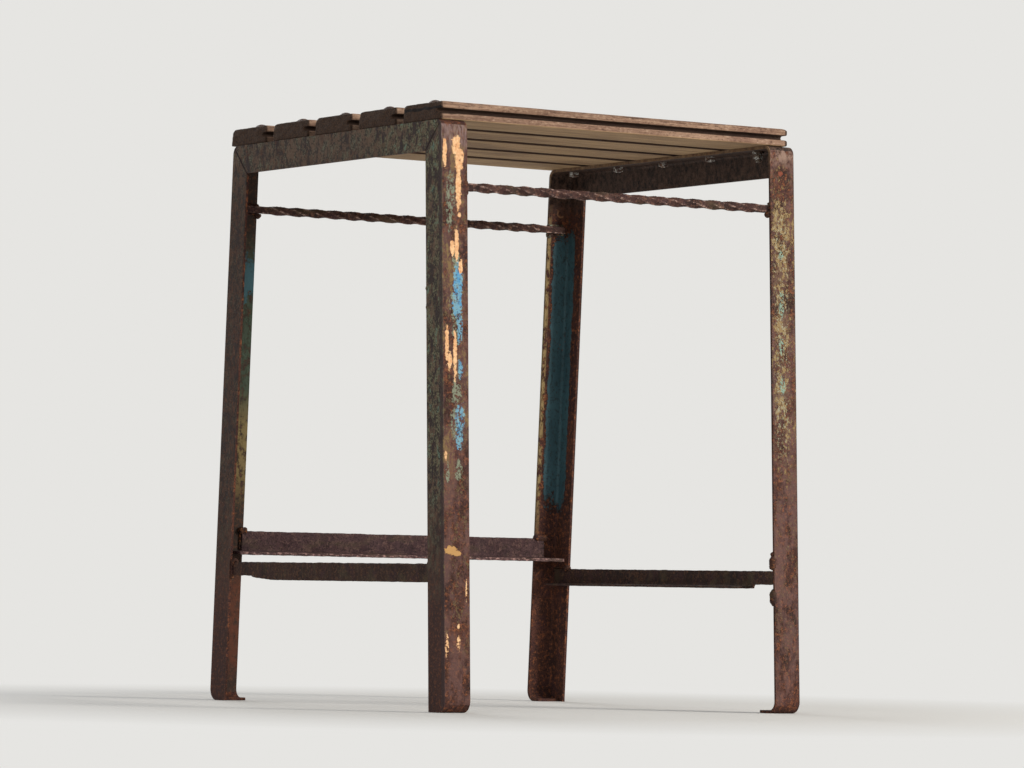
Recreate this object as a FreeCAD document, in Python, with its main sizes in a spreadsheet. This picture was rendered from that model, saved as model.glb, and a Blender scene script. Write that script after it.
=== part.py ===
import FreeCAD, Part
import math
import os

import Sketcher

# An industrial stool: two side frames bent from steel angle, three stretchers of angle,
# two twisted square bars, and a seat of five grooved boards bolted to the frames.
# X runs along the boards, Y from the front to the back and Z up. The origin lies on the
# floor, under the middle of the stool. Every length is in millimetres.

SIZES = {
    # Side frames, measured over the outer faces of the angle
    "frame_width": 432,
    "rail_depth": 412,
    "floor_depth": 465,
    "rail_height": 586,
    "leg_flange": 30,
    "leg_thickness": 3,
    "root_radius": 3,
    "top_bend_radius": 9,
    "heel_radius": 12,
    "front_pad_length": 28.5,
    "rear_pad_length": 23,
    "foot_slit_height": 15,
    "seam_width": 0.8,
    "seam_depth": 0.5,
    # Seat boards
    "slat_count": 5,
    "slat_width": 70,
    "slat_pitch": 86,
    "slat_back_shift": 4.6,
    "slat_thickness": 19,
    "slat_edge_radius": 3,
    "slat_nosing_height": 7.5,
    "slat_groove_height": 4.5,
    "slat_groove_depth": 8,
    "slat_right_inset": 4.5,
    # Bolts, nuts and washers
    "bolt_inset": 17,
    "bolt_diameter": 6,
    "bolt_head_diameter": 15,
    "bolt_head_height": 3.5,
    "bolt_neck_size": 6.5,
    "bolt_neck_height": 3,
    "bolt_tip": 1,
    "bolt_point": 0.8,
    "bolt_point_height": 0.8,
    "long_bolt_tip": 3.5,
    "hole_clearance": 0.6,
    "nut_flats": 10,
    "nut_thickness": 5,
    "washer_diameter": 12.5,
    "washer_thickness": 1.6,
    # Twisted bars
    "bar_size": 8,
    "bar_drop": 65,
    "bar_end_inset": 12,
    "bar_plain_end": 30,
    "bar_quarter_turns": 15,
    # Rear stretcher
    "rear_flange": 25,
    "rear_thickness": 4,
    "rear_height": 155,
    "rear_left_inset": 13,
    "rear_right_inset": 6,
    "rear_end_trim": 13.5,
    # Side stretchers
    "side_flange": 19,
    "side_thickness": 3,
    "side_height": 127.5,
    "side_end_gap": 0.5,
    "side_corner_radius": 3,
    "cope_height": 4,
    "cope_start": 156,
    "cope_slope_height": 2.5,
    "cope_slope_length": 38,
    "level_end": 215,
    # Weld beads
    "bead_radius": 2.7,
    "blob_radius": 4.2,
    "blob_lift": 1.8,
    "bead_step": 3.2,
}

SIDES = {"left": -1, "right": 1}
SAME_PLACE = 1e-4

doc = FreeCAD.newDocument("Stool")


def make_sheet():
    """Writes each driving size to a cell of its own, under its name."""
    sheet = doc.addObject("Spreadsheet::Sheet", "Sizes")
    for row, (name, value) in enumerate(SIZES.items(), start=1):
        sheet.set(f"A{row}", name)
        sheet.set(f"B{row}", str(value))
        sheet.setAlias(f"B{row}", name)
    doc.recompute()
    return sheet


sheet = make_sheet()

# Expressions that several pieces share
HALF_WIDTH = "(Sizes.frame_width / 2)"
HALF_TOP = "(Sizes.rail_depth / 2)"
HALF_FLOOR = "(Sizes.floor_depth / 2)"
LEAN_SLOPE = f"(({HALF_FLOOR} - {HALF_TOP}) / Sizes.rail_height)"
LEAN_STRETCH = f"sqrt(1 + {LEAN_SLOPE} ^ 2)"
LEAN_ANGLE = f"atan({LEAN_SLOPE})"
FREE_EDGE = f"({HALF_WIDTH} - Sizes.leg_flange)"
BOLT_PLACE = f"({HALF_WIDTH} - Sizes.bolt_inset)"
FIRST_SLAT = "((Sizes.slat_count - 1) * Sizes.slat_pitch / 2 - Sizes.slat_back_shift)"
HOLE_SIZE = "(Sizes.bolt_diameter + Sizes.hole_clearance)"
NUT_SEAT = "(Sizes.rail_height - Sizes.leg_thickness)"
STRETCHER_END = "Sizes.leg_thickness + Sizes.root_radius + Sizes.side_end_gap"
BAR_HEIGHT = "(Sizes.rail_height - Sizes.bar_drop)"
BAR_REACH = f"({HALF_WIDTH} - Sizes.bar_end_inset)"

SMALL = "Sizes.bead_radius"
LARGE = "Sizes.blob_radius"
UPPER_RUN = (LARGE, LARGE, LARGE, SMALL, SMALL)
LOWER_RUN = (SMALL, LARGE, LARGE, LARGE, SMALL)

PARTS = {}


def bind(thing, expressions):
    """Ties properties of an object to the sheet."""
    for name, expression in expressions.items():
        thing.setExpression(name, expression)


def number(expression):
    """The present value of an expression."""
    value = sheet.evalExpression(expression)
    return float(getattr(value, "Value", value))


def keep(thing, name):
    """Makes an object one of the named pieces of the stool."""
    thing.Label = name
    PARTS[name] = thing
    return thing


def place(thing, x="0", y="0", z="0", lean=None):
    """Puts an object at a place, leaning about the X axis where asked."""
    bind(thing, {"Placement.Base.x": x, "Placement.Base.y": y, "Placement.Base.z": z})
    if lean:
        thing.Placement.Rotation = FreeCAD.Rotation(FreeCAD.Vector(1, 0, 0), number(lean))
        thing.setExpression("Placement.Rotation.Angle", lean)
    return thing


def place_on_leg(thing, row, x="0"):
    """Puts an object in the frame of the front or rear legs, with Z along the leg."""
    if row == "front":
        return place(thing, x, f"-{HALF_FLOOR}", "0", f"-1 * {LEAN_ANGLE}")
    return place(thing, x, HALF_FLOOR, "0", LEAN_ANGLE)


def new_body(name):
    return keep(doc.addObject("PartDesign::Body", name), name)


def new_sketch(body, plane, name):
    """A sketch on one of the body's own origin planes."""
    sketch = body.newObject("Sketcher::SketchObject", name)
    support = [f for f in body.Origin.OriginFeatures if f.Role == plane][0]
    sketch.AttachmentSupport = [(support, "")]
    sketch.MapMode = "FlatFace"
    return sketch


def hold_point(sketch, line, end, across, up):
    """Holds one end of a line at a place given by two expressions."""
    for kind, expression in (("DistanceX", across), ("DistanceY", up)):
        datum = Sketcher.Constraint(kind, -1, 1, line, end, number(expression))
        index = sketch.addConstraint(datum)
        sketch.setExpression(f"Constraints[{index}]", expression)


def draw_outline(sketch, corners):
    """Closes a chain of lines through corners that are given as pairs of expressions."""
    points = [FreeCAD.Vector(number(a), number(b), 0) for a, b in corners]
    lines = []
    for start, end in zip(points, points[1:] + points[:1]):
        lines.append(sketch.addGeometry(Part.LineSegment(start, end), False))
    for line, after in zip(lines, lines[1:] + lines[:1]):
        sketch.addConstraint(Sketcher.Constraint("Coincident", line, 2, after, 1))
    for line, (across, up) in zip(lines, corners):
        hold_point(sketch, line, 1, across, up)


def draw_circle(sketch, across, up, diameter):
    """A circle with its middle and its diameter tied to the sheet."""
    middle = FreeCAD.Vector(number(across), number(up), 0)
    circle = Part.Circle(middle, FreeCAD.Vector(0, 0, 1), number(diameter) / 2)
    line = sketch.addGeometry(circle, False)
    hold_point(sketch, line, 3, across, up)
    size = Sketcher.Constraint("Diameter", line, number(diameter))
    sketch.setExpression(f"Constraints[{sketch.addConstraint(size)}]", diameter)


def pad(body, sketch, name, length, reverse=False):
    """Raises a sketch into the body, along its normal or against it."""
    feature = body.newObject("PartDesign::Pad", name)
    feature.Profile = sketch
    feature.setExpression("Length", length)
    feature.Reversed = reverse
    doc.recompute()
    return feature


def pocket(body, sketch, name, length=None, reverse=False):
    """Cuts a sketch out of the body, and makes sure that the cut took something away."""
    before = body.Shape.Volume
    feature = body.newObject("PartDesign::Pocket", name)
    feature.Profile = sketch
    feature.Reversed = reverse
    if length:
        feature.setExpression("Length", length)
    else:
        feature.Type = "ThroughAll"
    doc.recompute()
    if body.Shape.Volume >= before:
        raise RuntimeError(f"{body.Label}: {name} cut nothing")
    return feature


def corner_edges(shape, corners):
    """Names the edges along X that stand at the given corners of the YZ plane."""
    names = []
    places = [(number(across), number(up)) for across, up in corners]
    for index, edge in enumerate(shape.Edges, start=1):
        box = edge.BoundBox
        if box.XLength < SAME_PLACE or max(box.YLength, box.ZLength) > SAME_PLACE:
            continue
        if any(max(abs(box.YMin - y), abs(box.ZMin - z)) < SAME_PLACE for y, z in places):
            names.append(f"Edge{index}")
    return names


def fillet(body, base, name, edges, radius):
    """Rounds named edges of the body."""
    if not edges:
        raise RuntimeError(f"{body.Label}: {name} found no edge")
    feature = body.newObject("PartDesign::Fillet", name)
    feature.Base = (base, edges)
    feature.setExpression("Radius", radius)
    doc.recompute()
    return feature


def mirrored(corners):
    """The same corners on both sides of the middle of the stool's depth."""
    return corners + [(f"-1 * ({across})", up) for across, up in reversed(corners)]


# Side frames: one length of angle each, notched, bent to an upside-down U and welded at
# the mitres. The web lies in the side plane, the flange runs round the outside and turns
# in under each leg as a foot.

def inner_line(offset, up):
    """Distance from the middle, at a height, of a line inside the leg's outer face."""
    return f"{HALF_FLOOR} - {LEAN_SLOPE} * ({up}) - ({offset}) * {LEAN_STRETCH}"


def web_outline():
    under_rail = "Sizes.rail_height - Sizes.leg_flange"
    return mirrored([
        (inner_line("Sizes.leg_flange", under_rail), under_rail),
        (inner_line("Sizes.leg_flange", "0"), "0"),
        (HALF_FLOOR, "0"),
        (HALF_TOP, "Sizes.rail_height"),
    ])


def flange_outline():
    """The flange along legs and rail, as far down as the slits above the feet."""
    skin = "Sizes.leg_thickness"
    under_rail = f"Sizes.rail_height - {skin}"
    slit = "Sizes.foot_slit_height"
    return mirrored([
        (inner_line(skin, under_rail), under_rail),
        (inner_line(skin, slit), slit),
        (inner_line("0", slit), slit),
        (HALF_TOP, "Sizes.rail_height"),
    ])


def foot_outline(way, length):
    """The flange below the slit, with the foot that turns in from it."""
    skin = "Sizes.leg_thickness"
    slit = "Sizes.foot_slit_height"
    corners = [
        (inner_line("0", slit), slit),
        (HALF_FLOOR, "0"),
        (f"{HALF_FLOOR} - {length}", "0"),
        (f"{HALF_FLOOR} - {length}", skin),
        (inner_line(skin, skin), skin),
        (inner_line(skin, slit), slit),
    ]
    return [(f"{way} * ({across})", up) for across, up in corners]


def seam_outline(side):
    """A thin strip along the mitre, from the bend to just past the web's inner corner."""
    under_rail = "Sizes.rail_height - Sizes.leg_flange"
    inner = inner_line("Sizes.leg_flange", under_rail)
    bend = "Sizes.top_bend_radius / 2"
    half = "Sizes.seam_width / 2"
    ends = [
        (f"{side} * ({HALF_TOP} - {bend})", f"Sizes.rail_height - {bend}"),
        (f"{side} * ({inner} - Sizes.seam_width)", f"{under_rail} - Sizes.seam_width"),
    ]
    lower = [(f"{y} - {side} * {half}", f"{z} + {half}") for y, z in ends]
    upper = [(f"{y} + {side} * {half}", f"{z} - {half}") for y, z in reversed(ends)]
    return lower + upper


def root_edges(shape, inside):
    """Names the edges where the web meets the flange, on the inside of the angle."""
    names = []
    skin = number("Sizes.leg_thickness")
    for index, edge in enumerate(shape.Edges, start=1):
        box = edge.BoundBox
        middle = edge.CenterOfMass
        in_plane = max(abs(box.XMin - inside), abs(box.XMax - inside)) < SAME_PLACE
        from_leg = number(inner_line("0", str(middle.z))) - abs(middle.y)
        from_rail = number("Sizes.rail_height") - middle.z
        depth = min(from_leg, from_rail)
        if in_plane and skin / 2 < depth < 2 * skin and edge.Length > 2 * skin:
            names.append(f"Edge{index}")
    return names


def round_bends(body, base, bends):
    """Rounds the same bend of the front and rear legs, one bend after the other."""
    for bend, (corner, radius) in bends.items():
        edges = corner_edges(base.Shape, mirrored([corner]))
        base = fillet(body, base, f"{body.Name}_{bend}", edges, radius)
    return base


def side_frame(side):
    name = f"{side}_side_frame"
    body = new_body(name)
    place(body, f"{SIDES[side]} * {HALF_WIDTH}")
    outward = SIDES[side] > 0
    web = new_sketch(body, "YZ_Plane", f"{name}_web_outline")
    draw_outline(web, web_outline())
    pad(body, web, f"{name}_web", "Sizes.leg_thickness", outward)
    flange = new_sketch(body, "YZ_Plane", f"{name}_flange_outline")
    draw_outline(flange, flange_outline())
    base = pad(body, flange, f"{name}_flange", "Sizes.leg_flange", outward)
    skin = "Sizes.leg_thickness"
    under = f"Sizes.rail_height - {skin}"
    bends = {
        "inner_bend": ((inner_line(skin, under), under), f"Sizes.top_bend_radius - {skin}"),
        "top_bend": ((HALF_TOP, "Sizes.rail_height"), "Sizes.top_bend_radius"),
    }
    base = round_bends(body, base, bends)
    inside = -SIDES[side] * number(skin)
    root = root_edges(base.Shape, inside)
    fillet(body, base, f"{name}_root", root, "Sizes.root_radius")
    for row, way in (("front", -1), ("rear", 1)):
        foot = new_sketch(body, "YZ_Plane", f"{name}_{row}_foot_outline")
        draw_outline(foot, foot_outline(way, f"Sizes.{row}_pad_length"))
        base = pad(body, foot, f"{name}_{row}_foot", "Sizes.leg_flange", outward)
    heels = {
        "inner_heel": ((inner_line(skin, skin), skin), f"Sizes.heel_radius - {skin}"),
        "heel": ((HALF_FLOOR, "0"), "Sizes.heel_radius"),
    }
    round_bends(body, base, heels)
    for end, way in (("front", -1), ("rear", 1)):
        seam = new_sketch(body, "YZ_Plane", f"{name}_{end}_seam_outline")
        draw_outline(seam, seam_outline(way))
        pocket(body, seam, f"{name}_{end}_seam", "Sizes.seam_depth", not outward)
    hole = new_sketch(body, "XY_Plane", f"{name}_hole_outline")
    draw_circle(hole, f"-1 * {SIDES[side]} * Sizes.bolt_inset", f"-{FIRST_SLAT}", HOLE_SIZE)
    first = pocket(body, hole, f"{name}_hole", reverse=True)
    repeat_along_depth(body, hole, first, f"{name}_holes")
    return body


def repeat_along_depth(body, sketch, first, name):
    """Repeats a cut once for each seat board."""
    before = body.Shape.Volume
    pattern = body.newObject("PartDesign::LinearPattern", name)
    pattern.Originals = [first]
    pattern.Direction = (sketch, ["V_Axis"])
    pattern.setExpression("Length", "(Sizes.slat_count - 1) * Sizes.slat_pitch")
    pattern.setExpression("Occurrences", "Sizes.slat_count")
    body.Tip = pattern
    doc.recompute()
    if body.Shape.Volume >= before:
        raise RuntimeError(f"{name} cut nothing")


# Stretchers: the rear one is a heavier angle, lapped on the flanges of the rear legs. The
# side ones are lapped on the webs of each frame. Each has its level flange at the bottom,
# turned in under the seat.

def rear_stretcher():
    """Lies against the rear legs, with its upright flange cut shorter than the level one."""
    name = "rear_stretcher"
    body = new_body(name)
    place_on_leg(body, "rear")
    left = f"-({HALF_WIDTH} - Sizes.rear_left_inset)"
    right = f"({HALF_WIDTH} - Sizes.rear_right_inset)"
    top = "Sizes.rear_height + Sizes.rear_flange"
    lap = "Sizes.leg_thickness + Sizes.rear_thickness"
    level = new_sketch(body, "XY_Plane", f"{name}_level_outline")
    level.setExpression("AttachmentOffset.Base.z", "Sizes.rear_height")
    near = "-(Sizes.leg_thickness + Sizes.rear_flange)"
    draw_outline(level, [(left, near), (right, near), (right, f"-({lap})"), (left, f"-({lap})")])
    pad(body, level, f"{name}_level_flange", "Sizes.rear_thickness")
    upright = new_sketch(body, "XZ_Plane", f"{name}_upright_outline")
    upright.setExpression("AttachmentOffset.Base.z", "Sizes.leg_thickness")
    ends = (f"{left} + Sizes.rear_end_trim", f"{right} - Sizes.rear_end_trim")
    low = "Sizes.rear_height"
    draw_outline(upright, [(ends[0], low), (ends[1], low), (ends[1], top), (ends[0], top)])
    pad(body, upright, f"{name}_upright_flange", "Sizes.rear_thickness")
    return body


def side_stretcher(side):
    """Lies against the webs of one frame. The left one is the same piece turned round.

    One end is coped, so that only the upright flange runs on to the leg there. On the
    left piece the corner of the cope is cut back to a slope.
    """
    name = f"{side}_stretcher"
    body = new_body(name)
    place(body, f"{SIDES[side]} * ({HALF_WIDTH} - Sizes.leg_thickness)", "0", "Sizes.side_height")
    if side == "left":
        body.Placement.Rotation = FreeCAD.Rotation(FreeCAD.Vector(0, 0, 1), 180)

    def end(up):
        return inner_line(STRETCHER_END, f"Sizes.side_height + {up}")

    cope, top = "Sizes.cope_height", "Sizes.side_flange"
    slope = [("-Sizes.cope_start", "0")]
    level_start = "-Sizes.cope_start"
    if side == "left":
        level_start = "Sizes.cope_slope_length - Sizes.cope_start"
        slope = [("-Sizes.cope_start", "Sizes.cope_slope_height"), (level_start, "0")]
    upright = new_sketch(body, "YZ_Plane", f"{name}_upright_outline")
    draw_outline(upright, [
        (f"-1 * ({end(cope)})", cope),
        ("-Sizes.cope_start", cope),
        *slope,
        (end("0"), "0"),
        (end(top), top),
        (f"-1 * ({end(top)})", top),
    ])
    base = pad(body, upright, f"{name}_upright_flange", "Sizes.side_thickness", True)
    corner = corner_edges(base.Shape, [(end("0"), "0")])
    fillet(body, base, f"{name}_corner", corner, "Sizes.side_corner_radius")
    level = new_sketch(body, "YZ_Plane", f"{name}_level_outline")
    thick = "Sizes.side_thickness"
    draw_outline(level, [
        (level_start, "0"),
        ("Sizes.level_end", "0"),
        ("Sizes.level_end", thick),
        (level_start, thick),
    ])
    pad(body, level, f"{name}_level_flange", "Sizes.side_flange", True)
    return body


# Twisted bars: square bar, twisted cold, with plain ends welded inside the legs

def twisted_solid(size, length):
    """A square bar along X that turns a quarter at a time about its own axis."""
    turns = number("Sizes.bar_quarter_turns") / 4
    start = FreeCAD.Vector(-length / 2, 0, 0)
    spine = Part.Wire(Part.LineSegment(start, -start).toShape())
    guide = Part.makeHelix(length / turns, length, size)
    along_x = FreeCAD.Rotation(FreeCAD.Vector(0, 0, 1), FreeCAD.Vector(1, 0, 0))
    guide.Placement = FreeCAD.Placement(start, along_x)
    half = size / 2
    corners = [(half, half), (-half, half), (-half, -half), (half, -half), (half, half)]
    square = Part.makePolygon([FreeCAD.Vector(start.x, y, z) for y, z in corners])
    pipe = Part.BRepOffsetAPI.MakePipeShell(spine)
    pipe.setAuxiliarySpine(Part.Wire(guide.Edges), True, 0)
    pipe.add(square)
    pipe.build()
    pipe.makeSolid()
    return pipe.shape()


def twisted_bar(row):
    """Runs from frame to frame behind the front legs, or before the rear ones."""
    size = number("Sizes.bar_size")
    plain = number("Sizes.bar_plain_end")
    twisted = 2 * (number(BAR_REACH) - plain)
    solid = twisted_solid(size, twisted)
    for side in SIDES.values():
        middle = side * (twisted + plain) / 2
        corner = FreeCAD.Vector(middle - plain / 2, -size / 2, -size / 2)
        solid = solid.fuse(Part.makeBox(plain, size, size, corner))
    bar = doc.addObject("Part::Feature", f"{row}_twisted_bar")
    bar.Shape = solid.removeSplitter()
    return keep(place_in_row(bar, row), f"{row}_twisted_bar")


def place_in_row(thing, row):
    """Lays a bar against the inner faces of the front or rear legs."""
    inward = 1 if row == "front" else -1
    offset = number("Sizes.leg_thickness + Sizes.bar_size / 2")
    leg = FreeCAD.Placement()
    leg.Base.y = -inward * number(HALF_FLOOR)
    leg.Rotation = FreeCAD.Rotation(FreeCAD.Vector(1, 0, 0), -inward * number(LEAN_ANGLE))
    seat = FreeCAD.Placement()
    seat.Base = FreeCAD.Vector(0, inward * offset, number(BAR_HEIGHT))
    thing.Placement = leg.multiply(seat)
    return thing


# Seat boards: floor boards with a groove along the front edge, laid across both rails. As
# a set they sit a little further back than the frames.

def slat(index):
    name = f"slat_{index + 1}"
    body = new_body(name)
    middle = f"{index} * Sizes.slat_pitch - {FIRST_SLAT}"
    place(body, f"-{HALF_WIDTH}", middle, "Sizes.rail_height")
    half = "(Sizes.slat_width / 2)"
    thick = "Sizes.slat_thickness"
    lip = f"({thick} - Sizes.slat_nosing_height - Sizes.slat_groove_height)"
    groove = f"-{half} + Sizes.slat_groove_depth"
    profile = new_sketch(body, "YZ_Plane", f"{name}_profile")
    draw_outline(profile, [
        (f"-{half}", "0"),
        (half, "0"),
        (half, thick),
        (f"-{half}", thick),
        (f"-{half}", f"{thick} - Sizes.slat_nosing_height"),
        (groove, f"{thick} - Sizes.slat_nosing_height"),
        (groove, lip),
        (f"-{half}", lip),
    ])
    base = pad(body, profile, f"{name}_board", "Sizes.frame_width - Sizes.slat_right_inset")
    edges = corner_edges(base.Shape, [(half, thick), (f"-{half}", thick)])
    fillet(body, base, f"{name}_worn_edges", edges, "Sizes.slat_edge_radius")
    for side, way in SIDES.items():
        across = f"{HALF_WIDTH} + {way} * {BOLT_PLACE}"
        hole = new_sketch(body, "XY_Plane", f"{name}_{side}_hole_outline")
        draw_circle(hole, across, "0", HOLE_SIZE)
        pocket(body, hole, f"{name}_{side}_hole", reverse=True)
        neck = new_sketch(body, "XY_Plane", f"{name}_{side}_neck_outline")
        neck.setExpression("AttachmentOffset.Base.z", thick)
        reach = "(Sizes.bolt_neck_size + Sizes.hole_clearance) / 2"
        draw_outline(neck, [
            (f"{across} - {reach}", f"-{reach}"),
            (f"{across} + {reach}", f"-{reach}"),
            (f"{across} + {reach}", reach),
            (f"{across} - {reach}", reach),
        ])
        pocket(body, neck, f"{name}_{side}_neck", "Sizes.bolt_neck_height + Sizes.hole_clearance")
    return body


# Fasteners: domed bolts with square necks come down through board and rail, and a nut
# holds each one under the rail. The front right bolt is longer, with two washers.

def is_long(side, index):
    return side == "right" and index == 0


def washer_stack(side, index):
    """Height of the washers above a nut."""
    return "2 * Sizes.washer_thickness" if is_long(side, index) else "0"


def fastener_place(thing, side, index, height):
    """Puts a fastener on the axis of its hole, at a height."""
    along_depth = f"{index} * Sizes.slat_pitch - {FIRST_SLAT}"
    return place(thing, f"{SIDES[side]} * {BOLT_PLACE}", along_depth, height)


def cylinder(name, radius, height, base="0"):
    thing = doc.addObject("Part::Cylinder", name)
    bind(thing, {"Radius": radius, "Height": height})
    return place(thing, z=base)


def domed_bolt(side, index):
    """Modelled with the underside of its head at zero, and the shank below."""
    name = f"bolt_{side}_{index + 1}"
    crown = "Sizes.bolt_head_height"
    cap_radius = f"((Sizes.bolt_head_diameter ^ 2 / 4 + {crown} ^ 2) / (2 * {crown}))"
    rise = f"({cap_radius} - {crown})"
    tip = "Sizes.long_bolt_tip" if is_long(side, index) else "Sizes.bolt_tip"
    clamped = f"Sizes.slat_thickness + Sizes.leg_thickness + {washer_stack(side, index)}"
    shank_end = f"({clamped} + Sizes.nut_thickness + {tip} - Sizes.bolt_point_height)"
    head = doc.addObject("Part::Sphere", f"{name}_head")
    bind(head, {"Radius": cap_radius, "Angle1": f"asin({rise} / {cap_radius})"})
    place(head, z=f"-{rise}")
    neck = doc.addObject("Part::Box", f"{name}_neck")
    neck_size = "Sizes.bolt_neck_size"
    bind(neck, {"Length": neck_size, "Width": neck_size, "Height": "Sizes.bolt_neck_height"})
    place(neck, f"-{neck_size} / 2", f"-{neck_size} / 2", "-Sizes.bolt_neck_height")
    shank = cylinder(f"{name}_shank", "Sizes.bolt_diameter / 2", shank_end, f"-1 * {shank_end}")
    point = doc.addObject("Part::Cone", f"{name}_point")
    radius = "Sizes.bolt_diameter / 2"
    bind(point, {"Radius1": f"{radius} - Sizes.bolt_point", "Radius2": radius})
    bind(point, {"Height": "Sizes.bolt_point_height"})
    place(point, z=f"-1 * ({shank_end} + Sizes.bolt_point_height)")
    bolt = doc.addObject("Part::MultiFuse", name)
    bolt.Shapes = [head, neck, shank, point]
    fastener_place(bolt, side, index, "Sizes.rail_height + Sizes.slat_thickness")
    return keep(bolt, name)


def hex_nut(side, index):
    """A hexagon chamfered at both faces, with a plain bore."""
    name = f"nut_{side}_{index + 1}"
    hexagon = doc.addObject("Part::Prism", f"{name}_hexagon")
    hexagon.Polygon = 6
    bind(hexagon, {"Circumradius": "Sizes.nut_flats / sqrt(3)", "Height": "Sizes.nut_thickness"})
    narrow = "Sizes.nut_flats / 2"
    wide = "Sizes.nut_flats / 2 + Sizes.nut_thickness"
    middle = "Sizes.nut_thickness / 2"
    chamfers = {"lower": (narrow, wide, "0"), "upper": (wide, narrow, middle)}
    cones = []
    for face, (low, high, base) in chamfers.items():
        cone = doc.addObject("Part::Cone", f"{name}_{face}_chamfer")
        bind(cone, {"Radius1": low, "Radius2": high, "Height": middle})
        cones.append(place(cone, z=base))
    barrel = doc.addObject("Part::MultiFuse", f"{name}_barrel")
    barrel.Shapes = cones
    blank = doc.addObject("Part::MultiCommon", f"{name}_blank")
    blank.Shapes = [hexagon, barrel]
    nut = doc.addObject("Part::Cut", name)
    nut.Base = blank
    nut.Tool = cylinder(f"{name}_bore", f"{HOLE_SIZE} / 2", "Sizes.nut_thickness")
    drop = f"{NUT_SEAT} - {washer_stack(side, index)} - Sizes.nut_thickness"
    fastener_place(nut, side, index, drop)
    return keep(nut, name)


def washer(order):
    """One of the two plain washers over the long bolt's nut."""
    name = f"washer_right_1_{order}"
    ring = doc.addObject("Part::Cut", name)
    ring.Base = cylinder(f"{name}_disc", "Sizes.washer_diameter / 2", "Sizes.washer_thickness")
    ring.Tool = cylinder(f"{name}_bore", f"{HOLE_SIZE} / 2", "Sizes.washer_thickness")
    layers = "1" if order == "upper" else "2"
    fastener_place(ring, "right", 0, f"{NUT_SEAT} - {layers} * Sizes.washer_thickness")
    return keep(ring, name)


# Welds: each bead is a row of overlapping drops, cut to fit the pieces that it joins

def bead(start, end):
    """Places for drops from one end of a bead to the other, at most a step apart."""
    gaps = math.ceil(abs(number(f"({end}) - ({start})")) / number("Sizes.bead_step"))
    return [f"(({start}) + (({end}) - ({start})) * {gap} / {gaps})" for gap in range(gaps + 1)]


def weld(name, row, drops, neighbours):
    """Drops are given by place and radius, in the frame of a row of legs where one is named."""
    balls = []
    for count, (x, y, z, radius) in enumerate(drops, start=1):
        ball = doc.addObject("Part::Sphere", f"{name}_drop_{count}")
        ball.setExpression("Radius", radius)
        balls.append(place(ball, x, y, z))
    run = doc.addObject("Part::MultiFuse", f"{name}_drops")
    run.Shapes = balls
    if row:
        place_on_leg(run, row)
    for neighbour in neighbours:
        cut = doc.addObject("Part::Cut", f"{name}_fitted")
        cut.Base = run
        cut.Tool = PARTS[neighbour]
        run = cut
    return keep(run, name)


def bar_weld(row, side):
    """Runs along the top and bottom of a bar's plain end, and closes round the end."""
    way = SIDES[side]
    inward = 1 if row == "front" else -1
    face = f"{inward} * Sizes.leg_thickness"
    half = "Sizes.bar_size / 2"
    drops = []
    for up in (1, -1):
        for along in bead(BAR_REACH, FREE_EDGE):
            drops.append((f"{way} * {along}", face, f"{BAR_HEIGHT} + {up} * {half}", SMALL))
    for level in bead(f"{BAR_HEIGHT} - {half}", f"{BAR_HEIGHT} + {half}"):
        drops.append((f"{way} * {BAR_REACH}", face, level, SMALL))
    raised = f"{inward} * (Sizes.leg_thickness + Sizes.blob_lift)"
    drops.append((f"{way} * {FREE_EDGE}", raised, f"{BAR_HEIGHT} - {half} - Sizes.blob_lift", LARGE))
    weld(f"{row}_bar_{side}_weld", row, drops, [f"{row}_twisted_bar", f"{side}_side_frame"])


def rear_stretcher_weld(side):
    """Runs down the end of the upright flange, from blobs along its top."""
    way = SIDES[side]
    raised = "-(Sizes.leg_thickness + Sizes.blob_lift)"
    end = f"({HALF_WIDTH} - Sizes.rear_{side}_inset - Sizes.rear_end_trim)"
    top = "Sizes.rear_height + Sizes.rear_flange"
    drops = []
    for level in bead(f"Sizes.rear_height + Sizes.rear_thickness + {SMALL}", top):
        drops.append((f"{way} * {end}", "-Sizes.leg_thickness", level, SMALL))
    for along in bead(FREE_EDGE, end):
        drops.append((f"{way} * {along}", raised, top, LARGE))
    weld(f"rear_stretcher_{side}_weld", "rear", drops, ["rear_stretcher", f"{side}_side_frame"])


def side_stretcher_weld(side, row):
    """Runs up the edge of the web behind the stretcher, then along the stretcher's top."""
    way = SIDES[side]
    outward = -1 if row == "front" else 1
    face = f"{way} * ({HALF_WIDTH} - Sizes.leg_thickness)"
    top = "(Sizes.side_height + Sizes.side_flange)"
    drops = []
    for level in bead(f"Sizes.side_height + {SMALL}", top):
        edge = inner_line("Sizes.leg_flange", level)
        drops.append((face, f"{outward} * ({edge})", level, SMALL))
    for along in bead(inner_line("Sizes.leg_flange", top), inner_line(STRETCHER_END, top)):
        drops.append((face, f"{outward} * {along}", top, SMALL))
    inside = f"{way} * ({HALF_WIDTH} - Sizes.leg_thickness - Sizes.blob_lift)"
    beyond = inner_line("Sizes.leg_flange + Sizes.blob_lift", top)
    drops.append((inside, f"{outward} * ({beyond})", top, LARGE))
    weld(f"{side}_stretcher_{row}_weld", None, drops, [f"{side}_stretcher", f"{side}_side_frame"])


def edge_weld(name, height, radii):
    """An old run of weld on the free edge of the front right leg, from the bottom up."""
    drops = []
    for step, radius in enumerate(radii):
        level = f"{height} + {step} * Sizes.bead_step"
        drops.append((FREE_EDGE, "Sizes.leg_thickness", level, radius))
    weld(name, "front", drops, ["right_side_frame"])


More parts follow.
